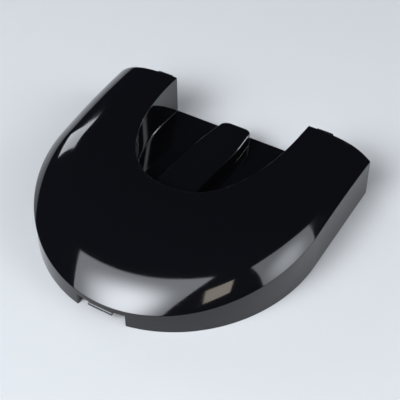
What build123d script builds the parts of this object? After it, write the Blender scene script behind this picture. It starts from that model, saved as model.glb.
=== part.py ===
from build123d import *
import math
import os

# Dust bin lid: one moulding, a crowned top with a vertical skirt, open at the bottom.
# Millimetres, +Z up. The rim stands on z = 0, the catch faces -Y and the arms point to +Y.

# Plan of the lid
REAR_WIDTH = 182.6        # across the skirt at the rear wall
SHOULDER_WIDTH = 180.0    # across the skirt where the round nose starts
LENGTH = 168.0            # rear wall to nose
NOSE_LENGTH = 96.2        # front-to-back half axis of the half ellipse of the nose
WALL = 2.3                # shell thickness

# Height of the crease between crown and skirt
CREASE_REAR = 26.8        # at the rear wall
CREASE_FRONT = 12.0       # at the nose
CREASE_BOW = 7.05         # rise of the crease over its chord at half length

# Crown
PEAK_HEIGHT = 41.0        # highest line of the crown
PEAK_SETBACK = 70.0       # from the rear wall forward to the peak
CROWN_REAR = 37.7         # crown height at the rear wall
CROWN_FRONT = 19.9        # height the middle of the crown would reach at the nose
ROLL_POWER = 8            # how late the crown rolls off to the crease
CREASE_RADIUS = 0.7       # between crown and skirt
LIP_CHAMFER = 0.6         # round the recess and along the rear edge of the crown

# Recess between the arms
RECESS_WIDTH = 95.8
RECESS_DEPTH = 92.0       # from the rear wall forward
RECESS_POWER = 2.4        # squareness of its superellipse plan
DECK_REAR = 9.5           # deck height at the rear wall
DECK_ANGLE = 9.4          # degrees, rising forward
DECK_CORNER_CHAMFER = 1.2  # where the deck meets the walls and the tongue

# Raised tongue on the deck
TONGUE_WIDTH = 26.0
TONGUE_TIP_WIDTH = 20.6
TONGUE_TAPER_START = 30.0  # from the rear wall forward to where the tip starts to narrow
TONGUE_TIP_SETBACK = 3.5   # from the rear wall forward to the tip
TONGUE_TIP_RADIUS = 5.5
TONGUE_RISE = 8.5          # above the deck
TONGUE_EDGE_RADIUS = 0.6

# Catch in the front notch
NOTCH_WIDTH = 32.8
NOTCH_TOP = 9.0
CATCH_WIDTH = 16.4
CATCH_BOTTOM = 5.4
CATCH_THICKNESS = 2.4
CATCH_LIP = 0.8           # how far the ledge along its lower edge stands out
CATCH_LIP_HEIGHT = 1.1
CATCH_NIB = 1.4           # how far the hook on its inside stands out

# Locating tabs behind the arms
TAB_WIDTH = 11.6
TAB_SPACING = 116.6       # between tab centres
TAB_TOP = 35.2
TAB_THICKNESS = 2.2
TAB_REACH = 3.0
TAB_CORNER_RADIUS = 1.0

# Underside
RIB_THICKNESS = 1.4
RIB_DEPTH = 6.0           # below the inside of the crown or the deck
RIB_SPACING = 56.0        # between the two long ribs
CROSS_RIB_SETBACK = 126.0  # from the rear wall forward to the cross rib
REBATE_HEIGHT = 3.0       # step inside the rim that seats over the bin
REBATE_DEPTH = 1.0

REAR = (LENGTH - TAB_REACH) / 2    # y of the rear wall, with the lid centred on its length
NOSE = REAR - LENGTH
SHOULDER = NOSE + NOSE_LENGTH
HEADROOM = PEAK_HEIGHT + LENGTH    # taller than anything on the lid
MARGIN = 4.0                       # how far cutting shapes reach past the lid
GRID = 34                          # steps of the crown surface each way
CUBIC = 3                          # degree of the crown surface, smooth enough to round its edges
CURVE_STEPS = 24                   # steps along the recess plan
SLOPE_STEP = 0.05                  # spacing over which the crown's slope is read
SURFACE_TOLERANCE = 0.005          # how closely the crown surface keeps to its points
NEAR = 0.5                         # how close to a surface an edge or corner counts as on it
SKIRT_PLACE = 0.97                 # round place from which an edge of the crown is on the skirt
DECK_SLOPE = math.tan(math.radians(DECK_ANGLE))


def plan(x, y):
    """Round place of a point in the plan: 0 on the middle line, 1 on the skirt."""
    if y > SHOULDER:
        spread = (REAR_WIDTH - SHOULDER_WIDTH) * (y - SHOULDER) / (LENGTH - NOSE_LENGTH)
        return abs(x) / ((SHOULDER_WIDTH + spread) / 2)
    return math.hypot(x / (SHOULDER_WIDTH / 2), (y - SHOULDER) / NOSE_LENGTH)


def crown_height(x, y):
    """Crease height plus a rise that stays full until close to the skirt."""
    setback = REAR - y
    share = setback / LENGTH
    crease = CREASE_REAR + (CREASE_FRONT - CREASE_REAR) * share + 4 * CREASE_BOW * share * (1 - share)
    if setback < PEAK_SETBACK:
        fall = (PEAK_HEIGHT - CROWN_REAR) * (1 - setback / PEAK_SETBACK) ** 2
    else:
        run = (setback - PEAK_SETBACK) / (LENGTH - PEAK_SETBACK)
        fall = (PEAK_HEIGHT - CROWN_FRONT) * run ** 2
    return crease + (PEAK_HEIGHT - fall - crease) * (1 - plan(x, y) ** ROLL_POWER)


def crown_point(x, y, inset):
    """Point of the crown at x, y, moved in along the surface normal by the inset."""
    slope_x = (crown_height(x + SLOPE_STEP, y) - crown_height(x - SLOPE_STEP, y)) / (2 * SLOPE_STEP)
    slope_y = (crown_height(x, y + SLOPE_STEP) - crown_height(x, y - SLOPE_STEP)) / (2 * SLOPE_STEP)
    normal = Vector(-slope_x, -slope_y, 1).normalized()
    return Vector(x, y, crown_height(x, y)) - normal * inset


def under_crown(inset):
    """Everything below the crown, or below a crown set in by a wall."""
    half = REAR_WIDTH / 2 + MARGIN
    front = NOSE - MARGIN
    span = LENGTH + 2 * MARGIN
    rows = []
    for row in range(GRID + 1):
        y = front + span * row / GRID
        rows.append([crown_point(half * (2 * column / GRID - 1), y, inset) for column in range(GRID + 1)])
    surface = Face.make_surface_from_array_of_points(rows, tol=SURFACE_TOLERANCE, min_deg=CUBIC)
    return extrude(surface, amount=-HEADROOM, dir=(0, 0, 1))


def outline(inset):
    """Plan of the skirt, set in by a wall: straight sides that run tangent into an ellipse."""
    rear_half = REAR_WIDTH / 2 - inset
    side_half = SHOULDER_WIDTH / 2 - inset
    nose = NOSE_LENGTH - inset
    rear = REAR - inset
    across = rear_half / side_half
    along = (rear - SHOULDER) / nose
    turn = math.acos(1 / math.hypot(across, along)) - math.atan2(along, across)
    arc = EllipticalCenterArc(
        (0, SHOULDER),
        side_half,
        nose,
        start_angle=180 + math.degrees(turn),
        arc_size=180 - 2 * math.degrees(turn),
    )
    edges = [
        arc,
        Line(arc @ 1, (rear_half, rear)),
        Line((rear_half, rear), (-rear_half, rear)),
        Line((-rear_half, rear), arc @ 0),
    ]
    return make_face(edges)


def recess_plan(grow):
    """Plan of the recess, or of its walls' outer faces: a half superellipse open to the rear."""
    half = RECESS_WIDTH / 2 + grow
    depth = RECESS_DEPTH + grow
    points = []
    for step in range(CURVE_STEPS + 1):
        turn = math.pi * step / CURVE_STEPS
        reach = math.cos(turn)
        x = math.copysign(half * abs(reach) ** (2 / RECESS_POWER), reach)
        points.append((x, REAR - depth * math.sin(turn) ** (2 / RECESS_POWER)))
    side = Spline(points, tangents=[(0, -1), (0, 1)])
    back = REAR + MARGIN
    edges = [
        side,
        Line((-half, REAR), (-half, back)),
        Line((-half, back), (half, back)),
        Line((half, back), (half, REAR)),
    ]
    return make_face(edges)


def tongue_plan(inset):
    """Plan of the tongue: parallel sides, a narrowing tip with round corners, front in the wall."""
    half = TONGUE_WIDTH / 2 - inset
    tip_half = TONGUE_TIP_WIDTH / 2 - inset
    taper_y = REAR - TONGUE_TAPER_START
    tip_y = REAR - TONGUE_TIP_SETBACK - inset
    front = REAR - RECESS_DEPTH - WALL
    corners = [(half, front), (half, taper_y), (tip_half, tip_y)]
    mirrored = [(-x, y) for x, y in reversed(corners)]
    shape = make_face(Polyline(*corners, *mirrored, close=True))
    tips = [vertex for vertex in shape.vertices() if abs(vertex.Y - tip_y) < NEAR]
    return fillet(tips, TONGUE_TIP_RADIUS - inset)


def above_deck(lift):
    """Everything above a plane parallel to the deck, raised square to it by the lift."""
    rise = lift / math.cos(math.radians(DECK_ANGLE))
    back = REAR + 2 * MARGIN
    front = NOSE
    low = DECK_REAR + rise - DECK_SLOPE * 2 * MARGIN
    high = DECK_REAR + rise + DECK_SLOPE * LENGTH
    corners = [(back, low), (front, high), (front, HEADROOM), (back, HEADROOM)]
    return across_lid(corners, REAR_WIDTH)


def across_lid(corners, width):
    """A side-view polygon, given as y and z, drawn out to both sides of the middle."""
    side = make_face(Plane.YZ * Polyline(*corners, close=True))
    return extrude(side, amount=width / 2, both=True, dir=(1, 0, 0))


def column(face):
    """A plan shape drawn up through the whole lid."""
    return extrude(face, amount=HEADROOM, dir=(0, 0, 1))


def block(x, width, y_low, y_high, z_low, z_high):
    """A box by its middle in x and its limits in y and z."""
    size = Box(width, y_high - y_low, z_high - z_low)
    return Pos(x, (y_low + y_high) / 2, (z_low + z_high) / 2) * size


def around(middle, width):
    """Lower and upper limit of a width about its middle."""
    return middle - width / 2, middle + width / 2


def deck_height(point, lift):
    """How far a point stands above a plane parallel to the deck."""
    rise = lift / math.cos(math.radians(DECK_ANGLE))
    return point.Z - DECK_REAR - rise - DECK_SLOPE * (REAR - point.Y)


def edges_where(shape, test):
    """Edges whose middle and quarter point both pass a test."""
    return [edge for edge in shape.edges() if test(edge @ 0.5) and test(edge @ 0.25)]


def on_crown(point):
    """On the outside of the crown."""
    return abs(point.Z - crown_height(point.X, point.Y)) < NEAR


def on_crease(point):
    """On the edge between crown and skirt, in front of the rear edge."""
    return on_crown(point) and plan(point.X, point.Y) > SKIRT_PLACE and point.Y < REAR - NEAR


def on_deck_corner(point):
    """On the corner between the deck and a wall, not on the deck's open rear edge."""
    return abs(deck_height(point, 0)) < NEAR and point.Y < REAR - NEAR


def on_tongue_edge(point):
    """On the rim of the tongue's top, behind the front wall of the recess."""
    return abs(deck_height(point, TONGUE_RISE)) < NEAR and point.Y > REAR - RECESS_DEPTH + MARGIN


def body():
    """The outside as one solid: a crowned block less the recess, with the tongue standing in it."""
    tongue = column(tongue_plan(0)) - above_deck(TONGUE_RISE)
    recess = column(recess_plan(0)) & above_deck(0)
    shape = (column(outline(0)) & under_crown(0)) - (recess - tongue)

    lip = [edge for edge in edges_where(shape, on_crown) if not on_crease(edge @ 0.5)]
    shape = chamfer(lip, LIP_CHAMFER)
    shape = fillet(edges_where(shape, on_crease), CREASE_RADIUS)
    shape = chamfer(edges_where(shape, on_deck_corner), DECK_CORNER_CHAMFER)
    return fillet(edges_where(shape, on_tongue_edge), TONGUE_EDGE_RADIUS)


def hollow():
    """The inside: everything a wall's thickness in from the outside."""
    tongue = column(tongue_plan(WALL)) - above_deck(TONGUE_RISE - WALL)
    recess = column(recess_plan(WALL)) & above_deck(-WALL)
    return (column(outline(WALL)) & under_crown(WALL)) - (recess - tongue)


def ribs(space):
    """Thin plates under the top, kept only in the layer just below the inside of it."""
    plates = block(0, REAR_WIDTH, *around(REAR - CROSS_RIB_SETBACK, RIB_THICKNESS), 0, HEADROOM)
    for side in (-1, 1):
        plates += block(side * RIB_SPACING / 2, RIB_THICKNESS, NOSE, REAR, 0, HEADROOM)
    return (plates & space) - Pos(0, 0, -RIB_DEPTH) * space


def notch():
    """The gap cut up through the front of the skirt."""
    depth = 2 * CATCH_THICKNESS + CATCH_NIB + MARGIN
    return block(0, NOTCH_WIDTH, NOSE - MARGIN, NOSE + depth, -MARGIN, NOTCH_TOP)


def catch(outside):
    """The tongue that hangs in the notch: a ledge along its foot, a hook behind, ends flush."""
    sag = NOSE_LENGTH * (1 - math.sqrt(1 - (CATCH_WIDTH / SHOULDER_WIDTH) ** 2))
    lip = NOSE + sag
    face = lip + CATCH_LIP
    back = face + CATCH_THICKNESS
    lip_top = CATCH_BOTTOM + CATCH_LIP_HEIGHT
    corners = [
        (face, CREASE_FRONT),
        (face, lip_top + CATCH_LIP),
        (lip, lip_top),
        (lip, CATCH_BOTTOM),
        (back, CATCH_BOTTOM),
        (back + CATCH_NIB, CATCH_BOTTOM + CATCH_NIB),
        (back, CATCH_BOTTOM + 2 * CATCH_NIB),
        (back, CREASE_FRONT),
    ]
    return across_lid(corners, CATCH_WIDTH) & outside


def tabs():
    """Two tongues behind the arms that hold the rear of the lid down."""
    shapes = []
    for side in (-1, 1):
        limits = (REAR - WALL, REAR + TAB_REACH, TAB_TOP - TAB_THICKNESS, TAB_TOP)
        tab = block(side * TAB_SPACING / 2, TAB_WIDTH, *limits)
        tips = tab.edges().filter_by(Axis.Z).group_by(Axis.Y)[-1]
        shapes.append(fillet(tips, TAB_CORNER_RADIUS))
    return shapes


def lid():
    """Shell, rebated inside its rim and ribbed under its top, with catch and tabs."""
    outside = body()
    inside = hollow()
    rebate = extrude(outline(WALL - REBATE_DEPTH), amount=REBATE_HEIGHT, dir=(0, 0, 1))
    shell = outside - inside - rebate - notch()
    for piece in [ribs(inside), catch(outside), *tabs()]:
        shell += piece
    return shell


os.makedirs("parts", exist_ok=True)
export_step(lid(), "parts/lid_moulding.step")
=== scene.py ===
import math

import bmesh
import bpy
import numpy as np
from mathutils import Matrix, Vector


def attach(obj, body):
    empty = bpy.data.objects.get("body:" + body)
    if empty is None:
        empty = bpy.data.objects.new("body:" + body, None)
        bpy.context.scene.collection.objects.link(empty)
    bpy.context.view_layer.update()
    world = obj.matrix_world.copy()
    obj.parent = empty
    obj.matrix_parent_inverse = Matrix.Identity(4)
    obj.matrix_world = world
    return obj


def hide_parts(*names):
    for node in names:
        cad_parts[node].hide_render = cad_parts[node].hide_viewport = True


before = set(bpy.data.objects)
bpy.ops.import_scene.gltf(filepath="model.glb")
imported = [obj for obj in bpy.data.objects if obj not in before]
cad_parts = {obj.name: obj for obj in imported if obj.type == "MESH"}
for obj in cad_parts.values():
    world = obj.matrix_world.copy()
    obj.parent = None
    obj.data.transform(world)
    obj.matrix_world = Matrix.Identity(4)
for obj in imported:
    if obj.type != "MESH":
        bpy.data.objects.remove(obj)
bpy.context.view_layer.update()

# Sizes of the lid in millimetres, the same as the part's own. The rim stands on z = 0, the catch
# faces -Y and the arms point to +Y. A setback is measured from the rear wall forward.
MM = 0.001                 # in metres
REAR_WIDTH = 182.6         # across the skirt at the rear wall
SHOULDER_WIDTH = 180.0     # across the skirt where the round nose starts
LENGTH = 168.0             # rear wall to nose
NOSE_LENGTH = 96.2         # front-to-back half axis of the ellipse of the nose
WALL = 2.3
CREASE_REAR = 26.8         # height of the crease between crown and skirt at the rear wall
CREASE_FRONT = 12.0        # and at the nose
CREASE_BOW = 7.05          # its rise over the chord at half length
PEAK_HEIGHT = 41.0
PEAK_SETBACK = 70.0
CROWN_REAR = 37.7          # height of the crown's ridge at the rear wall
CROWN_FRONT = 19.9         # height the ridge would reach at the nose
ROLL_POWER = 8             # how late the crown rolls off to the crease
RECESS_WIDTH = 95.8
RECESS_DEPTH = 92.0
RECESS_POWER = 2.4         # squareness of the recess in plan
DECK_REAR = 9.5            # height of the deck at the rear wall
DECK_ANGLE = math.radians(9.4)
TONGUE_WIDTH = 26.0
TONGUE_TIP_WIDTH = 20.6
TONGUE_TAPER_START = 30.0  # setback of the place where the tip starts to narrow
TONGUE_TIP_SETBACK = 3.5
TONGUE_TIP_RADIUS = 5.5
TONGUE_RISE = 8.5
TONGUE_EDGE_RADIUS = 0.6
NOTCH_WIDTH = 32.8
NOTCH_TOP = 9.0
CATCH_WIDTH = 16.4
CATCH_BOTTOM = 5.4
CATCH_THICKNESS = 2.4
CATCH_LIP = 0.8            # how far the ledge along the foot of the catch stands out
CATCH_LIP_HEIGHT = 1.1
CATCH_NIB = 1.4            # how far the hook behind the catch stands out
TAB_WIDTH = 11.6
TAB_SPACING = 116.6
TAB_TOP = 35.2
TAB_THICKNESS = 2.2
TAB_REACH = 3.0
TAB_CORNER_RADIUS = 1.0
RIB_THICKNESS = 1.4
RIB_DEPTH = 6.0
RIB_SPACING = 56.0
CROSS_RIB_SETBACK = 126.0
REBATE_HEIGHT = 3.0        # step inside the rim that seats over the bin
REBATE_DEPTH = 1.0

# Round edges in millimetres. The crease has the part's own radius, and the others stand for the part's
# chamfers and sharp edges.
EDGE_RADIUS = 0.7          # along the crease and the rear edges
REAR_BORDER = 0.15         # flat border between a rear edge and the large face of the rear wall
LIP_RADIUS = 0.35          # round the recess, growing to the edge radius at its rear ends
LIP_GROWTH = 0.03          # share of the way round over which it grows
DECK_CORNER_RADIUS = 0.6   # hollow corner of the deck and the recess wall
TONGUE_FOOT_RADIUS = 0.05  # hollow corner of the deck and the tongue
TONGUE_BEND_RADIUS = 90.0  # where the tongue starts to narrow
CATCH_EDGE_RADIUS = 0.2
TAB_EDGE_RADIUS = 0.25
BEVEL_SEGMENTS = 3
SHARP_ANGLE = math.radians(32)

# Laps and clearances of the pieces, in millimetres
APRON_WIDTH = 0.6          # foot of the tongue on the deck, past its hollow corner
APRON_BREAK = 0.2          # from the hollow corner to a row of points that divides the foot
APRON_LIFT = 0.001         # from the deck to the foot, so that the two don't lie in one plane
TONGUE_COVER = WALL / 4    # thickness of the tongue over the raised deck that fills it
CATCH_ROOT_DROP = 1.0      # from the crease down to the top of the catch, sunk in the skirt
RIB_SINK = WALL / 3        # how far a rib is sunk in the top
RIB_CLEARANCE = 0.5        # least height of a rib over the rim

# Steps of the drawing: counts of points, and the shares of the way at which rows of points lie
STATIONS = 241             # round the lid
STATION_MARGIN = 1.2       # millimetres, a little over the way between stations on the recess
NOTCH_GAP = 0.01           # millimetres from an end of the notch to the stations on both sides of it
SLOPE_STEP = 0.05          # millimetres each way over which the crown's slope is read
SMALLEST_ANGLE = 1e-9      # radians, so that two equal directions don't divide by nothing
ARC_POINTS = 4001
SIDE_POINTS = 800
RECESS_POINTS = 6001
TONGUE_POINTS = 4000
TONGUE_STATIONS = 121
TONGUE_SPINE_SETBACK = 9.0  # millimetres from the tip to where the rows of the top meet
TAB_CORNER_STEPS = 8
TONGUE_CORNER_STEPS = 40
RIB_POINTS = 160
CROWN_ROWS = 74
CROWN_CROWDING = 1.15      # over one brings the rows closer together towards the crease
CEILING_ROWS = 41          # under the crown
OFFSET_ROUNDS = 6          # of the search for the crown over a place on the inside
ROUND_SHARES = np.linspace(0, 1, 9)
DECK_SHARES = (0, 0.25, 0.5, 0.75, 0.9, 0.97)
WALL_SHARES = (0.04, 0.12, 0.3, 0.5, 0.7, 0.88, 0.96)
SKIRT_SHARES = (0.03, 0.12, 0.3, 0.5, 0.7, 0.9, 1)
INNER_SKIRT_SHARES = (0.33, 0.67)
TONGUE_WALL_SHARES = (0.06, 0.25, 0.5, 0.75, 0.94)
TONGUE_TOP_SHARES = (0.03, 0.12, 0.3, 0.5, 0.75, 1)
MERGE_DISTANCE = 0.001     # millimetres between points that count as one
SLIVER_LENGTH = 0.0005     # millimetres of an edge that counts as none

REAR = (LENGTH - TAB_REACH) / 2
NOSE = REAR - LENGTH
SHOULDER = NOSE + NOSE_LENGTH
RIM_WIDTH = WALL - REBATE_DEPTH
DECK_NORMAL = np.array([0.0, math.sin(DECK_ANGLE), math.cos(DECK_ANGLE)])
BACKWARD = np.array([0.0, 1.0, 0.0])

# Angle at which the straight sides leave the ellipse of the nose, measured in its half axes: the line
# through the end of the rear wall touches the unit circle there.
ACROSS = REAR_WIDTH / SHOULDER_WIDTH
ALONG = (REAR - SHOULDER) / NOSE_LENGTH
TURN = math.acos(1 / math.hypot(ACROSS, ALONG)) - math.atan2(ALONG, ACROSS)


def round_place(x, y):
    """0 on the middle of the plan and 1 on the skirt. Measured in half axes of the nose, the skirt
    is a unit circle with two lines that leave it at the angle TURN, so the place is the distance
    from the centre in front of that angle and the distance towards the line behind it."""
    across = np.abs(x) / (SHOULDER_WIDTH / 2)
    along = (y - SHOULDER) / NOSE_LENGTH
    line = across * math.cos(TURN) - along * math.sin(TURN)
    return np.where(along > -across * math.tan(TURN), line, np.hypot(across, along))


def crown_height(x, y):
    """Height of the crease, a straight fall with a parabola on it, plus a rise to the ridge that
    goes with one less the eighth power of the round place. The ridge is two parabolas that meet at
    the peak."""
    setback = REAR - y
    share = setback / LENGTH
    chord = CREASE_REAR + (CREASE_FRONT - CREASE_REAR) * share
    crease = chord + 4 * CREASE_BOW * share * (1 - share)
    behind = (PEAK_HEIGHT - CROWN_REAR) * (1 - setback / PEAK_SETBACK) ** 2
    run = (setback - PEAK_SETBACK) / (LENGTH - PEAK_SETBACK)
    ahead = (PEAK_HEIGHT - CROWN_FRONT) * run**2
    ridge = PEAK_HEIGHT - np.where(setback < PEAK_SETBACK, behind, ahead)
    return crease + (ridge - crease) * (1 - round_place(x, y) ** ROLL_POWER)


def unit(vectors):
    """Vectors along the last axis, at length one."""
    return vectors / np.linalg.norm(vectors, axis=-1, keepdims=True)


def crown_normal(plan):
    """Upward normal of the crown over plan points, from its rise over two slope steps."""
    x, y = plan[..., 0], plan[..., 1]
    rise_x = crown_height(x + SLOPE_STEP, y) - crown_height(x - SLOPE_STEP, y)
    rise_y = crown_height(x, y + SLOPE_STEP) - crown_height(x, y - SLOPE_STEP)
    slope_x = rise_x / (2 * SLOPE_STEP)
    slope_y = rise_y / (2 * SLOPE_STEP)
    return unit(np.stack([-slope_x, -slope_y, np.ones_like(x)], axis=-1))


def deck_height(y):
    """Height of the deck's plane, rising forward from the rear wall."""
    return DECK_REAR + math.tan(DECK_ANGLE) * (REAR - y)


def upright(thickness):
    """Height taken up by a thickness that is square to the deck: it, over the cosine of the slope."""
    return thickness / math.cos(DECK_ANGLE)


def in_plan(x, y):
    """Plan points from their two coordinates."""
    return np.stack(np.broadcast_arrays(x, y), axis=-1)


def with_height(plan, height):
    """Points over a plan at a height."""
    return np.concatenate([plan, np.broadcast_to(height, plan.shape[:-1])[..., None]], axis=-1)


def level(plan_direction):
    """A plan direction as a horizontal vector."""
    return with_height(plan_direction, 0.0)


def right_of(tangent):
    """Plan direction to the right of a tangent, a quarter turn from it."""
    return in_plan(tangent[:, 1], -tangent[:, 0])


def between(start, end, share):
    """A unit vector a share of the way from one to another, along the great circle through both."""
    start, end = np.broadcast_arrays(start, end)
    angle = np.arccos(np.clip((start * end).sum(-1, keepdims=True), -1, 1))
    angle = np.maximum(angle, SMALLEST_ANGLE)
    return (np.sin((1 - share) * angle) * start + np.sin(share * angle) * end) / np.sin(angle)


def lengths_along(points):
    """Length of a plan curve up to each of its points: the sum of the steps before it."""
    steps = np.linalg.norm(np.diff(points, axis=0), axis=1)
    return np.concatenate([[0], np.cumsum(steps)])


def at_shares(points, share):
    """Places at shares of a plan curve's length, and the unit tangent there."""
    run = lengths_along(points)
    run /= run[-1]
    slope = np.gradient(points, run, axis=0)
    place = in_plan(*(np.interp(share, run, points[:, k]) for k in (0, 1)))
    tangent = in_plan(*(np.interp(share, run, slope[:, k]) for k in (0, 1)))
    return place, unit(tangent)


def outline_curve(rear):
    """Plan of the skirt from the left end of the rear line round the nose to its right end: a line,
    the arc of an ellipse that is tangent to it, and a line."""
    angle = np.linspace(math.pi + TURN, 2 * math.pi - TURN, ARC_POINTS)
    arc = in_plan(np.cos(angle) * SHOULDER_WIDTH / 2, SHOULDER + np.sin(angle) * NOSE_LENGTH)
    lean = (REAR_WIDTH / 2 + arc[0, 0]) / (REAR - arc[0, 1])
    end = np.array([arc[0, 0] - lean * (rear - arc[0, 1]), rear])
    left = end + np.linspace(0, 1, SIDE_POINTS, endpoint=False)[:, None] * (arc[0] - end)
    return np.concatenate([left, arc, left[::-1] * [-1, 1]])


def recess_curve(rear):
    """Plan of the recess from the left end of the rear line round its front to the right end: a half
    superellipse, in which the powers of the two shares add up to one."""
    first = math.asin(((REAR - rear) / RECESS_DEPTH) ** (RECESS_POWER / 2))
    angle = np.linspace(first, math.pi - first, RECESS_POINTS)
    reach = -np.cos(angle)
    x = np.sign(reach) * np.abs(reach) ** (2 / RECESS_POWER) * RECESS_WIDTH / 2
    return in_plan(x, REAR - RECESS_DEPTH * np.sin(angle) ** (2 / RECESS_POWER))


def rounded_curve(corners, radii, steps):
    """A polyline whose inner corners are arcs: each arc is tangent to both runs at its corner."""
    corners = np.array(corners, float)
    pieces = [corners[:1]]
    for before, corner, after, radius in zip(corners[:-2], corners[1:-1], corners[2:], radii):
        towards = unit(corner - before)
        away = unit(after - corner)
        bend = math.acos(np.clip(towards @ away, -1, 1))
        inward = unit(away - towards)
        centre = corner + inward * radius / math.cos(bend / 2)
        turn = np.linspace(-bend / 2, bend / 2, steps)[:, None]
        middle = unit(towards + away)
        pieces.append(centre + radius * (np.sin(turn) * middle - np.cos(turn) * inward))
    return np.concatenate([*pieces, corners[-1:]])


class Skin:
    """Collects patches of points as one mesh: vertices in millimetres, how dull each is and faces of
    their numbers."""

    def __init__(self):
        self.points = []
        self.dull = []
        self.faces = []
        self.count = 0

    def add(self, grid, dull=0.0):
        """Takes a grid of points, polished or dull, and returns their numbers in the mesh."""
        grid = np.asarray(grid, float)
        numbers = self.count + np.arange(grid[..., 0].size).reshape(grid.shape[:-1])
        self.points.append(grid.reshape(-1, 3))
        self.dull.append(np.full(numbers.size, dull))
        self.count += numbers.size
        return numbers

    def quads(self, numbers):
        """Four-sided faces between the neighbours of a grid of vertex numbers."""
        corners = [numbers[:-1, :-1], numbers[1:, :-1], numbers[1:, 1:], numbers[:-1, 1:]]
        self.faces.extend(np.stack(corners, axis=-1).reshape(-1, 4).tolist())

    def polygon(self, *runs):
        """One flat face round runs of vertex numbers."""
        self.faces.append(np.concatenate(runs).tolist())

    def piece(self, name):
        """The mesh as an object: doubles merged, faces turned outward, sharp edges kept."""
        mesh = bpy.data.meshes.new(name)
        mesh.from_pydata(np.concatenate(self.points) * MM, [], self.faces)
        dullness = mesh.attributes.new("dull", "FLOAT", "POINT")
        dullness.data.foreach_set("value", np.concatenate(self.dull))
        work = bmesh.new()
        work.from_mesh(mesh)
        bmesh.ops.remove_doubles(work, verts=work.verts, dist=MERGE_DISTANCE * MM)
        bmesh.ops.dissolve_degenerate(work, edges=work.edges, dist=SLIVER_LENGTH * MM)
        bmesh.ops.recalc_face_normals(work, faces=work.faces)
        work.to_mesh(mesh)
        work.free()
        mesh.polygons.foreach_set("use_smooth", np.ones(len(mesh.polygons), bool))
        mesh.set_sharp_from_angle(angle=SHARP_ANGLE)
        piece = bpy.data.objects.new(name, mesh)
        bpy.context.scene.collection.objects.link(piece)
        return piece


def stations():
    """Shares of the way round the lid, equal steps with a close pair at each end of the notch."""
    curve = outline_curve(REAR - EDGE_RADIUS)
    run = lengths_along(curve)
    front = curve[:, 1] < SHOULDER
    end = np.interp(-NOTCH_WIDTH / 2, curve[front, 0], run[front] / run[-1])
    gap = NOTCH_GAP / run[-1]
    pairs = [end - gap, end + gap, 1 - end - gap, 1 - end + gap]
    return np.sort(np.concatenate([np.linspace(0, 1, STATIONS), pairs]))


def tongue_half(y, inset):
    """Half width of the tongue's plan, set in: parallel, narrowing from the taper's start, drawn in
    by a quarter circle at each corner of the tip, then nothing from a station before the tip."""
    setback = REAR - y - TONGUE_TIP_SETBACK
    taper = np.clip(setback / (TONGUE_TAPER_START - TONGUE_TIP_SETBACK), 0, 1)
    half = (TONGUE_TIP_WIDTH + (TONGUE_WIDTH - TONGUE_TIP_WIDTH) * taper) / 2 - inset
    radius = TONGUE_TIP_RADIUS - inset
    ahead = np.clip(TONGUE_TIP_RADIUS - setback, 0, radius)
    corner = radius - np.sqrt(radius**2 - ahead**2)
    return np.where(setback > inset + STATION_MARGIN, half - corner, 0.0)


def deck_rows(toe, drop, inset, rise):
    """Rows from the middle of the deck to its toe at the recess wall, on a plane the drop below the
    top of the deck. Under the tongue, set in from its plan, they step up by a rise."""
    x, y = toe[:, 0], toe[:, 1]
    top = deck_height(y) - upright(drop)
    half = np.minimum(tongue_half(y, inset), np.abs(x))
    raised = top + np.where(half > 0, upright(rise), 0)
    foot = np.sign(x) * half
    rows = [with_height(in_plan(0.0, y), raised), with_height(in_plan(foot, y), raised)]
    for share in DECK_SHARES:
        rows.append(with_height(in_plan(foot + share * (x - foot), y), top))
    return rows


def below_crown(plan, depth):
    """Points a depth inside the crown, straight below plan points, and the crown's normal there."""
    normal = crown_normal(plan)
    height = crown_height(plan[..., 0], plan[..., 1]) - depth / normal[..., 2]
    return with_height(plan, height), normal


def mitre(before, after):
    """Where the corner of two edges goes when both edges move by one along their normals: the sum of
    the normals over one plus their scalar product."""
    return (before + after) / (1 + (before * after).sum(-1, keepdims=True))


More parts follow.
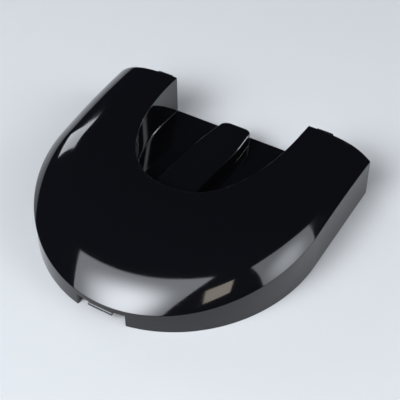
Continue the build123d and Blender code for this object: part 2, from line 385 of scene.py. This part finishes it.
def outer_rows(share):
    """The outside from the middle of the deck to the rim, as points one edge radius inside it and the
    normals there: each edge is a point whose normal swings from one face to the next. With them come
    the way that each point moves when the section grows by one, the height of the skirt's foot and
    the number of rows up to the recess wall."""
    outline, tangent = at_shares(outline_curve(REAR - EDGE_RADIUS), share)
    outward = right_of(tangent)
    recess, tangent = at_shares(recess_curve(REAR - EDGE_RADIUS), share)
    inward = -right_of(tangent)
    outer = outline - outward * EDGE_RADIUS
    inner = recess - inward * EDGE_RADIUS
    for plan in (outer, inner):
        plan[[0, -1], 1] = REAR - EDGE_RADIUS
    skirt_normal = level(outward)
    wall_normal = level(inward)
    cores, normals, sides = [], [], []

    def keep(core, normal, side=None):
        """Adds a row of points, their normals and the way they move, on a face along the normal."""
        cores.append(core)
        normals.append(np.broadcast_to(normal, core.shape))
        sides.append(normals[-1] if side is None else side)

    toe = recess + inward * DECK_CORNER_RADIUS
    centre = with_height(toe, deck_height(toe[:, 1]) + upright(DECK_CORNER_RADIUS))
    flat_end = (centre - DECK_CORNER_RADIUS * DECK_NORMAL)[:, :2]
    for row in deck_rows(flat_end, 0.0, TONGUE_COVER, TONGUE_RISE - TONGUE_COVER):
        keep(row - EDGE_RADIUS * DECK_NORMAL, DECK_NORMAL)
    for step in ROUND_SHARES:
        normal = between(DECK_NORMAL, wall_normal, step)
        keep(centre - (DECK_CORNER_RADIUS + EDGE_RADIUS) * normal, normal)
    deck_count = len(cores)

    growth = [0, LIP_GROWTH, 1 - LIP_GROWTH, 1]
    lip_radius = np.interp(share, growth, [EDGE_RADIUS, LIP_RADIUS, LIP_RADIUS, EDGE_RADIUS])
    tighter = (EDGE_RADIUS - lip_radius)[:, None]
    lip, lip_normal = below_crown(inner + inward * tighter, lip_radius)
    foot = centre[:, 2]
    for step in WALL_SHARES:
        keep(with_height(inner, foot + (lip[:, 2] - foot) * step), wall_normal)
    for step in ROUND_SHARES:
        normal = between(wall_normal, lip_normal, step)
        keep(lip - tighter * normal, normal, mitre(wall_normal, lip_normal))
    for step in 1 - (1 - np.linspace(0, 1, CROWN_ROWS)[1:-1]) ** CROWN_CROWDING:
        keep(*below_crown(inner + (outer - inner) * step, EDGE_RADIUS))

    crease, crease_normal = below_crown(outer, EDGE_RADIUS)
    for step in ROUND_SHARES:
        normal = between(crease_normal, skirt_normal, step)
        keep(crease, normal, mitre(crease_normal, skirt_normal))
    bottom = np.where(np.abs(outline[:, 0]) < NOTCH_WIDTH / 2, NOTCH_TOP, 0.0)
    for step in SKIRT_SHARES:
        keep(with_height(outer, crease[:, 2] + (bottom - crease[:, 2]) * step), skirt_normal)
    return np.array(cores), np.array(normals), np.array(sides), bottom, deck_count


def inner_rows(share, bottom):
    """The inside from the rim to the middle under the deck: a rebate, then a wall's thickness in from
    the skirt, the crown, the recess wall and the deck, with sharp corners."""
    rebate, tangent = at_shares(outline_curve(REAR - RIM_WIDTH), share)
    rebate -= right_of(tangent) * RIM_WIDTH
    rebate[[0, -1], 1] = REAR - RIM_WIDTH
    skirt, tangent = at_shares(outline_curve(REAR - WALL), share)
    skirt -= right_of(tangent) * WALL
    recess, tangent = at_shares(recess_curve(REAR - WALL), share)
    recess += right_of(tangent) * WALL

    def over(plan):
        """Plan point of the crown whose point a wall further in lies over the given plan point: found
        by moving out along the normal again and again."""
        above = plan
        for _ in range(OFFSET_ROUNDS):
            above = plan + WALL * crown_normal(above)[:, :2]
        return above

    step_up = np.maximum(bottom, REBATE_HEIGHT)
    rows = [with_height(rebate, bottom), with_height(rebate, step_up), with_height(skirt, step_up)]
    start = over(skirt)
    end = over(recess)
    for part in np.linspace(0, 1, CEILING_ROWS):
        plan = start + (end - start) * part
        crown = with_height(plan, crown_height(plan[:, 0], plan[:, 1]))
        ceiling = crown - WALL * crown_normal(plan)
        if part == 0:
            rows += [rows[-1] + (ceiling - rows[-1]) * rise for rise in INNER_SKIRT_SHARES]
        rows.append(ceiling)
    rows.append(with_height(recess, deck_height(recess[:, 1]) - upright(WALL)))
    rows += deck_rows(recess, WALL, WALL, TONGUE_RISE)[::-1]
    rows = np.array(rows)
    rows[2:, [0, -1], 1] = REAR - WALL
    return rows


def lid_skin():
    """The lid's shell as one closed skin: the outside carried round the arms and the nose and rolled
    over the rear edge, the inside, and flat faces that close both at the rear."""
    share = stations()
    skin = Skin()
    cores, normals, sides, bottom, deck_count = outer_rows(share)
    outside = cores + EDGE_RADIUS * normals
    ends = []
    for end in (0, -1):
        swings = [between(normals[:, end], BACKWARD, step) for step in ROUND_SHARES[1:]]
        rolls = [cores[:, end] + EDGE_RADIUS * swing for swing in swings]
        rolls.append(rolls[-1] - REAR_BORDER * sides[:, end] * [1, 0, 1])
        ends.append(np.stack(rolls, axis=1))
    outer = skin.add(np.concatenate([ends[0][:, ::-1], outside, ends[1]], axis=1))
    skin.quads(outer)
    inner = skin.add(inner_rows(share, bottom), dull=1.0)
    skin.quads(inner)
    width = ends[0].shape[1]
    skin.quads(np.stack([outer[-1, width:-width], inner[0]]))
    top = deck_count - 1
    feet = skin.add([end[top, -1] * [1, 1, 0] for end in ends])
    skin.polygon(outer[top:, 0], feet[:1])
    skin.polygon(outer[top:, -1], feet[1:])
    skin.polygon(feet[:1], outer[top::-1, 0], outer[: top + 1, -1], feet[1:])
    skin.polygon(outer[-1, : width + 1], inner[0, [0, -1]], outer[-1, -width - 1 :], feet[::-1])
    skin.quads(inner[:3, [0, -1]])
    skin.polygon(inner[2:, 0], inner[:1:-1, -1])
    return skin.piece("lid_skin")


def deck_tongue():
    """The raised tongue as a closed cap: a section carried round its plan, from an apron on the deck
    up a hollow corner, the wall and a round edge to the top and its middle, then back down the
    inside. Half the plan is drawn and mirrored."""
    half = TONGUE_WIDTH / 2
    tip_half = TONGUE_TIP_WIDTH / 2
    root = REAR - RECESS_DEPTH - WALL / 2
    taper = REAR - TONGUE_TAPER_START
    tip = REAR - TONGUE_TIP_SETBACK
    left = [(-half, root), (-half, taper), (-tip_half, tip)]
    right = [(tip_half, tip), (half, taper), (half, root)]
    radii = [TONGUE_BEND_RADIUS, TONGUE_TIP_RADIUS, TONGUE_TIP_RADIUS, TONGUE_BEND_RADIUS]
    curve = rounded_curve(left + right, radii, TONGUE_CORNER_STEPS)
    curve = at_shares(curve, np.linspace(0, 1, TONGUE_POINTS))[0]
    plan, tangent = at_shares(curve, np.linspace(0, 0.5, TONGUE_STATIONS))
    outward = -right_of(tangent)
    plan[-1, 0] = 0
    outward[-1] = (0, 1)
    plan = np.concatenate([plan, plan[-2::-1] * [-1, 1]])
    outward = np.concatenate([outward, outward[-2::-1] * [-1, 1]])
    side = level(outward)
    rise = upright(TONGUE_RISE)

    def at(offset, lift):
        """The plan moved outward by an offset, lifted over the deck."""
        place = plan + outward * offset
        return with_height(place, deck_height(place[:, 1]) + lift)

    apron = TONGUE_FOOT_RADIUS + APRON_WIDTH
    rows = [at(apron, APRON_LIFT), at(TONGUE_FOOT_RADIUS + APRON_BREAK, APRON_LIFT)]
    centre = at(TONGUE_FOOT_RADIUS, upright(TONGUE_FOOT_RADIUS) + APRON_LIFT)
    for step in ROUND_SHARES:
        rows.append(centre - TONGUE_FOOT_RADIUS * between(DECK_NORMAL, side, step))
    core = at(-TONGUE_EDGE_RADIUS, rise - upright(TONGUE_EDGE_RADIUS))
    low = rows[-1]
    high = core + TONGUE_EDGE_RADIUS * side
    for step in TONGUE_WALL_SHARES:
        rows.append(low + (high - low) * step)
    for step in ROUND_SHARES:
        rows.append(core + TONGUE_EDGE_RADIUS * between(side, DECK_NORMAL, step))
    edge = rows[-1]
    spine = in_plan(0.0, np.minimum(edge[:, 1], tip - TONGUE_SPINE_SETBACK))
    spine = with_height(spine, deck_height(spine[:, 1]) + rise)
    for step in TONGUE_TOP_SHARES:
        rows.append(edge + (spine - edge) * step)
    lining = [
        spine - [0, 0, upright(WALL / 2)],
        at(-WALL / 2, rise - upright(WALL / 2)),
        at(-WALL / 2, -WALL / 2),
        at(apron, -WALL / 2),
    ]
    skin = Skin()
    outside = skin.add(rows)
    inside = skin.add(lining, dull=1.0)
    skin.quads(outside)
    skin.quads(np.concatenate([inside, outside[:1]]))
    for end in (0, -1):
        skin.polygon(outside[:, end], inside[:, end])
    return skin.piece("deck_tongue")


def prism(skin, loop, low, high, axis, dull=0.0):
    """A flat loop drawn out between two places along an axis (0, 1 or 2), with both ends closed."""
    loop = np.asarray(loop, float)
    ends = np.stack([np.insert(loop, axis, place, axis=1) for place in (low, high)])
    numbers = skin.add(ends, dull)
    skin.quads(np.concatenate([numbers, numbers[:, :1]], axis=1))
    for end in numbers:
        skin.polygon(end)


def soften(piece, radius):
    """Rounds the sharp edges of a small piece by a radius in millimetres."""
    bevel = piece.modifiers.new("moulded_edges", "BEVEL")
    bevel.width = radius * MM
    bevel.segments = BEVEL_SEGMENTS
    bevel.limit_method = "ANGLE"
    bevel.angle_limit = SHARP_ANGLE
    bevel.use_clamp_overlap = True
    return piece


def front_catch():
    """The catch in the notch: its side view, with a ledge along the foot and a hook behind, drawn
    across. It stands back by the sag of the nose's ellipse over its width."""
    sag = NOSE_LENGTH * (1 - math.sqrt(1 - (CATCH_WIDTH / SHOULDER_WIDTH) ** 2))
    lip = NOSE + sag
    face = lip + CATCH_LIP
    back = face + CATCH_THICKNESS
    ledge = CATCH_BOTTOM + CATCH_LIP_HEIGHT
    top = CREASE_FRONT - CATCH_ROOT_DROP
    loop = [
        (face, top),
        (face, ledge + CATCH_LIP),
        (lip, ledge),
        (lip, CATCH_BOTTOM),
        (back, CATCH_BOTTOM),
        (back + CATCH_NIB, CATCH_BOTTOM + CATCH_NIB),
        (back, CATCH_BOTTOM + 2 * CATCH_NIB),
        (back, top),
    ]
    skin = Skin()
    prism(skin, loop, -CATCH_WIDTH / 2, CATCH_WIDTH / 2, 0)
    return soften(skin.piece("front_catch"), CATCH_EDGE_RADIUS)


def locating_tabs():
    """The two tabs behind the arms: a plan with round tip corners, drawn up by the thickness."""
    skin = Skin()
    root = REAR - WALL / 2
    tip = REAR + TAB_REACH
    for middle in (-TAB_SPACING / 2, TAB_SPACING / 2):
        left = middle - TAB_WIDTH / 2
        right = middle + TAB_WIDTH / 2
        corners = [(left, root), (left, tip), (right, tip), (right, root)]
        loop = rounded_curve(corners, [TAB_CORNER_RADIUS] * 2, TAB_CORNER_STEPS)
        prism(skin, loop, TAB_TOP - TAB_THICKNESS, TAB_TOP, 2)
    return soften(skin.piece("locating_tabs"), TAB_EDGE_RADIUS)


def inside_height(x, y):
    """Height of the inside of the lid's top: the crown's less the wall, or the deck's less the wall
    where the recess, grown by the wall, lies over the place."""
    across = np.abs(x) / (RECESS_WIDTH / 2 + WALL)
    along = (REAR - y) / (RECESS_DEPTH + WALL)
    in_recess = across**RECESS_POWER + along**RECESS_POWER < 1
    crown = crown_height(x, y) - WALL / crown_normal(in_plan(x, y))[..., 2]
    return np.where(in_recess, deck_height(y) - upright(WALL), crown)


def rib_loop(along, top, low):
    """Side view of a rib: out along its foot and back along its top, which is sunk into the lid."""
    return np.concatenate([in_plan(along, low), in_plan(along, top + RIB_SINK)[::-1]])


def inside_ribs():
    """The ribs under the top: strips that follow the inside of the lid, a rib's depth below it. They
    end a wall inside the ellipse of the nose, and the long ones run back into the rear wall."""
    skin = Skin()
    for x in (-RIB_SPACING / 2, RIB_SPACING / 2):
        reach = NOSE_LENGTH * math.sqrt(1 - (x / (SHOULDER_WIDTH / 2)) ** 2) - WALL
        y = np.linspace(SHOULDER - reach, REAR - WALL / 2, RIB_POINTS)
        top = inside_height(x, y)
        loop = rib_loop(y, top, np.maximum(top - RIB_DEPTH, RIB_CLEARANCE))
        prism(skin, loop, x - RIB_THICKNESS / 2, x + RIB_THICKNESS / 2, 0, dull=1.0)
    y = REAR - CROSS_RIB_SETBACK
    reach = SHOULDER_WIDTH / 2 * math.sqrt(1 - ((y - SHOULDER) / NOSE_LENGTH) ** 2) - WALL
    x = np.linspace(-reach, reach, RIB_POINTS + 1)
    top = inside_height(x, y)
    loop = rib_loop(x, top, top - RIB_DEPTH)
    prism(skin, loop, y - RIB_THICKNESS / 2, y + RIB_THICKNESS / 2, 1, dull=1.0)
    return skin.piece("inside_ribs")


shell = lid_skin()
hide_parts("lid_moulding")
pieces = [shell, deck_tongue(), front_catch(), locating_tabs(), inside_ribs()]
for piece in pieces:
    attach(piece, "root")

# Surface of the plastic. Each pattern has its size across, along and up in millimetres.
HANDLING_PATCH = (34.0, 34.0, 34.0)  # a patch dulled by hands
WIPING_LINE = (1.4, 36.4, 1.4)       # a line left by a cloth, drawn coarser than real ones
SHRINK_WAVE = (19.0, 19.0, 19.0)     # a faint wave of the skin
PEEL_BUMP = (2.6, 2.6, 2.6)          # a bump of the peel, drawn coarser than the real 1 mm
SHRINK_HEIGHT = 0.022
PEEL_HEIGHT = 0.0012
NO_DETAIL = 0.0                      # finer layers on a noise
SOME_DETAIL = 1.0
FINE_DETAIL = 2.0
NOISE_LOW = 0.3                      # the usual range of a noise
NOISE_HIGH = 0.7
WIPING_START = 0.5                   # a wiping line shows only where its noise is high
WIPING_FULL = 0.75
CLEAN_ROUGHNESS = 0.045
HANDLED_ROUGHNESS = 0.085
WIPED_ROUGHNESS = 0.03               # added along a wiping line
UNPOLISHED_ROUGHNESS = 0.3           # added on the inside
ABS_IOR = 1.54
CARD_ROUGHNESS = 0.9


def linear(code):
    """An sRGB hex colour as linear red, green, blue and alpha, by the standard's curve."""
    shares = np.array([int(code[k : k + 2], 16) for k in (1, 3, 5)]) / 255
    curve = np.where(shares <= 0.04045, shares / 12.92, ((shares + 0.055) / 1.055) ** 2.4)
    return (*curve.tolist(), 1.0)


def node(tree, kind, settings=(), *values, **links):
    """Adds a node with its settings. Values fill its inputs in their order, and links fill those that
    they name: each is a number, a colour, a vector or the output of another node."""
    made = tree.nodes.new(kind)
    for name, value in dict(settings).items():
        setattr(made, name, value)
    filled = list(zip(made.inputs, values))
    filled += [(made.inputs[name.replace("_", " ")], value) for name, value in links.items()]
    for socket, value in filled:
        if isinstance(value, bpy.types.NodeSocket):
            tree.links.new(value, socket)
        else:
            socket.default_value = value
    return made


def new_material(name):
    """A node material with no nodes yet, and the tree to fill."""
    material = bpy.data.materials.new(name)
    material.use_nodes = True
    material.node_tree.nodes.clear()
    return material, material.node_tree


def gloss_black_abs():
    """ABS from a polished mould: a black body under a hard, clear gloss that mirrors the lights. The
    gloss waves faintly where the plastic shrank, has a fine peel, soft patches from handling and
    thin lines from wiping along the lid. The inside comes off the unpolished half of the mould, so
    it is dull."""
    material, tree = new_material("gloss_black_abs")
    place = node(tree, "ShaderNodeTexCoord").outputs["Object"]
    dull = node(tree, "ShaderNodeAttribute", {"attribute_name": "dull"}).outputs["Fac"]
    noises = []
    for size, detail in (
        (HANDLING_PATCH, FINE_DETAIL),
        (WIPING_LINE, FINE_DETAIL),
        (SHRINK_WAVE, NO_DETAIL),
        (PEEL_BUMP, SOME_DETAIL),
    ):
        cell = Vector(size) * MM
        scaled = node(tree, "ShaderNodeVectorMath", {"operation": "DIVIDE"}, place, cell)
        grain = scaled.outputs["Vector"]
        noise = node(tree, "ShaderNodeTexNoise", Vector=grain, Scale=1.0, Detail=detail)
        noises.append(noise.outputs["Fac"])
    handling, wiping, shrinking, peeling = noises

    handled = node(
        tree,
        "ShaderNodeMapRange",
        Value=handling,
        From_Min=NOISE_LOW,
        From_Max=NOISE_HIGH,
        To_Min=CLEAN_ROUGHNESS,
        To_Max=HANDLED_ROUGHNESS,
    )
    wiped = node(
        tree,
        "ShaderNodeMapRange",
        Value=wiping,
        From_Min=WIPING_START,
        From_Max=WIPING_FULL,
        To_Min=0.0,
        To_Max=WIPED_ROUGHNESS,
    )
    polished = node(
        tree,
        "ShaderNodeMath",
        {"operation": "ADD"},
        handled.outputs["Result"],
        wiped.outputs["Result"],
    )
    roughness = node(
        tree,
        "ShaderNodeMath",
        {"operation": "MULTIPLY_ADD"},
        dull,
        UNPOLISHED_ROUGHNESS,
        polished.outputs["Value"],
    )
    waves = node(tree, "ShaderNodeBump", Height=shrinking, Distance=SHRINK_HEIGHT * MM)
    peel = node(
        tree,
        "ShaderNodeBump",
        Height=peeling,
        Distance=PEEL_HEIGHT * MM,
        Normal=waves.outputs["Normal"],
    )
    body = node(
        tree,
        "ShaderNodeMix",
        {"data_type": "RGBA"},
        Factor=dull,
        A=linear("#09090c"),
        B=linear("#101013"),
    )
    shader = node(
        tree,
        "ShaderNodeBsdfPrincipled",
        Base_Color=body.outputs["Result"],
        Roughness=roughness.outputs["Value"],
        IOR=ABS_IOR,
        Normal=peel.outputs["Normal"],
    )
    node(tree, "ShaderNodeOutputMaterial", Surface=shader.outputs["BSDF"])
    return material


def matt_card():
    """Pale card under the lid, matt, so that it shows a soft shadow and no reflection."""
    material, tree = new_material("matt_card")
    shader = node(
        tree,
        "ShaderNodeBsdfPrincipled",
        Base_Color=linear("#c9cacb"),
        Roughness=CARD_ROUGHNESS,
    )
    node(tree, "ShaderNodeOutputMaterial", Surface=shader.outputs["BSDF"])
    return material


black = gloss_black_abs()
for piece in pieces:
    piece.data.materials.append(black)

FLOOR_REACH = 6.0  # metres each way
floor_corners = np.array([(-1, -1, 0), (1, -1, 0), (1, 1, 0), (-1, 1, 0)]) * FLOOR_REACH
floor_mesh = bpy.data.meshes.new("floor")
floor_mesh.from_pydata(floor_corners, [], [(0, 1, 2, 3)])
floor_mesh.materials.append(matt_card())
floor = bpy.data.objects.new("floor", floor_mesh)
bpy.context.scene.collection.objects.link(floor)

# The view of the photograph, fitted to the lid's outline: direction, tilt, target and lens
VIEW_AZIMUTH = math.radians(30.326)
VIEW_ELEVATION = math.radians(45.506)
VIEW_ROLL = math.radians(-0.45)
VIEW_TARGET = Vector((2.899, 23.871, 0)) * MM
VIEW_DISTANCE = 674.155 * MM
SENSOR_WIDTH = 36
LENS = 95.84

# Lights, in millimetres
LAMP_TARGET = Vector((0, -30, 25))
LAMP_DISTANCE = 2000.0
GLOW_REACH = 900.0  # from the bulb of a soft light to where its glow has gone
FLAG_BLUR = 24.0    # half the width of the soft edge of a flag's shade


def facing(azimuth, elevation):
    """Unit vector from the lid towards a direction: azimuth from -Y towards +X, and height."""
    flat = math.cos(elevation)
    return Vector((math.sin(azimuth) * flat, -math.cos(azimuth) * flat, math.sin(elevation)))


def placed(name, data, back, place, roll):
    """An object that looks along its own -Z, away from the back direction, turned by a roll."""
    made = bpy.data.objects.new(name, data)
    bpy.context.scene.collection.objects.link(made)
    turn = back.to_track_quat("Z", "Y").to_matrix() @ Matrix.Rotation(roll, 3, "Z")
    made.matrix_world = Matrix.Translation(place) @ turn.to_4x4()
    return made


camera_data = bpy.data.cameras.new("camera")
camera_data.sensor_width = SENSOR_WIDTH
camera_data.lens = LENS
back = facing(VIEW_AZIMUTH, VIEW_ELEVATION)
camera = placed("camera", camera_data, back, VIEW_TARGET + back * VIEW_DISTANCE, VIEW_ROLL)
bpy.context.scene.camera = camera


def soft_box(
    name,
    azimuth,
    elevation,
    shift,
    size,
    roll,
    brightness,
    glow=0.0,
    bulb=(0, 0),
    flag=None,
    colour="#f3f8ff",
):
    """A rectangular soft light at the lamp distance, in a direction from the lamp target and with a
    shift in its own plane. Its cloth is as bright as told, plus a glow that falls off round the bulb
    behind it, which may be off its middle. A flag may shade it beyond a line, given by its lean and
    its distance from the middle. Angles are in degrees, lengths in millimetres."""
    towards = facing(math.radians(azimuth), math.radians(elevation))
    right = Vector((0, 0, 1)).cross(towards).normalized()
    upward = towards.cross(right)
    place = LAMP_TARGET + towards * LAMP_DISTANCE + right * shift[0] + upward * shift[1]
    light = bpy.data.lights.new(name, "AREA")
    light.shape = "RECTANGLE"
    light.size = size[0] * MM
    light.size_y = size[1] * MM
    light.energy = math.pi * light.size * light.size_y
    light.use_nodes = True
    tree = light.node_tree
    tree.nodes.clear()

    across = node(tree, "ShaderNodeNewGeometry").outputs["Parametric"]
    corner = (-light.size / 2 - bulb[0] * MM, -light.size_y / 2 - bulb[1] * MM, 0)
    span = (light.size, light.size_y, 0)
    moved = node(tree, "ShaderNodeVectorMath", {"operation": "MULTIPLY_ADD"}, across, span, corner)
    offset = moved.outputs["Vector"]
    reach = node(tree, "ShaderNodeVectorMath", {"operation": "LENGTH"}, offset)
    fall = node(
        tree,
        "ShaderNodeMapRange",
        {"interpolation_type": "SMOOTHERSTEP"},
        Value=reach.outputs["Value"],
        From_Max=GLOW_REACH * MM,
        To_Min=brightness + glow,
        To_Max=brightness,
    )
    strength = fall.outputs["Result"]
    if flag:
        lean = math.radians(flag[0])
        square = (-math.sin(lean), math.cos(lean), 0)
        edge = (flag[1] - square[0] * bulb[0] - square[1] * bulb[1]) * MM
        past = node(tree, "ShaderNodeVectorMath", {"operation": "DOT_PRODUCT"}, offset, square)
        shade = node(
            tree,
            "ShaderNodeMapRange",
            Value=past.outputs["Value"],
            From_Min=edge - FLAG_BLUR * MM,
            From_Max=edge + FLAG_BLUR * MM,
            To_Min=1.0,
            To_Max=0.0,
        )
        lit = shade.outputs["Result"]
        shaded = node(tree, "ShaderNodeMath", {"operation": "MULTIPLY"}, strength, lit)
        strength = shaded.outputs["Value"]
    cloth = node(tree, "ShaderNodeEmission", Color=linear(colour), Strength=strength)
    node(tree, "ShaderNodeOutputLight", Surface=cloth.outputs["Emission"])
    placed(name, light, towards, place * MM, math.radians(roll))


# The broad highlight on the nose
soft_box(
    "front_box",
    azimuth=-22,
    elevation=48,
    shift=(32, -29),
    size=(1706, 1932),
    roll=11,
    brightness=3.75,
    glow=14.0,
    bulb=(30, -190),
    flag=(19.1, 665),
)
# The highlight on the right of the nose
soft_box(
    "right_box",
    azimuth=102,
    elevation=32,
    shift=(65, 87),
    size=(1666, 1716),
    roll=-11,
    brightness=2.7,
    glow=3.6,
    bulb=(-90, -348),
    flag=(-24.3, 435),
)
# The highlight on the left shoulder
soft_box(
    "left_box",
    azimuth=-119,
    elevation=25,
    shift=(-12, -128),
    size=(510, 670),
    roll=34,
    brightness=5.0,
)
# The stripe on the wall of the recess
soft_box(
    "rear_box",
    azimuth=177,
    elevation=25,
    shift=(-43, 27),
    size=(150, 360),
    roll=0,
    brightness=2.3,
)
# The bright line on the narrowing edge of the tongue
soft_box(
    "edge_strip",
    azimuth=149,
    elevation=12,
    shift=(222, -3),
    size=(130, 400),
    roll=-40,
    brightness=20.0,
)
# The small warm patch on the nose
soft_box(
    "warm_card",
    azimuth=42,
    elevation=48,
    shift=(22, -21),
    size=(516, 524),
    roll=2,
    brightness=4.0,
    colour="#fff4e6",
)

world = bpy.data.worlds.new("studio")
world.use_nodes = True
world.node_tree.nodes.clear()
sky = node(world.node_tree, "ShaderNodeBackground", Color=linear("#20222a"), Strength=1.0)
node(world.node_tree, "ShaderNodeOutputWorld", Surface=sky.outputs["Background"])
bpy.context.scene.world = world
bpy.context.scene.view_settings.view_transform = "Standard"
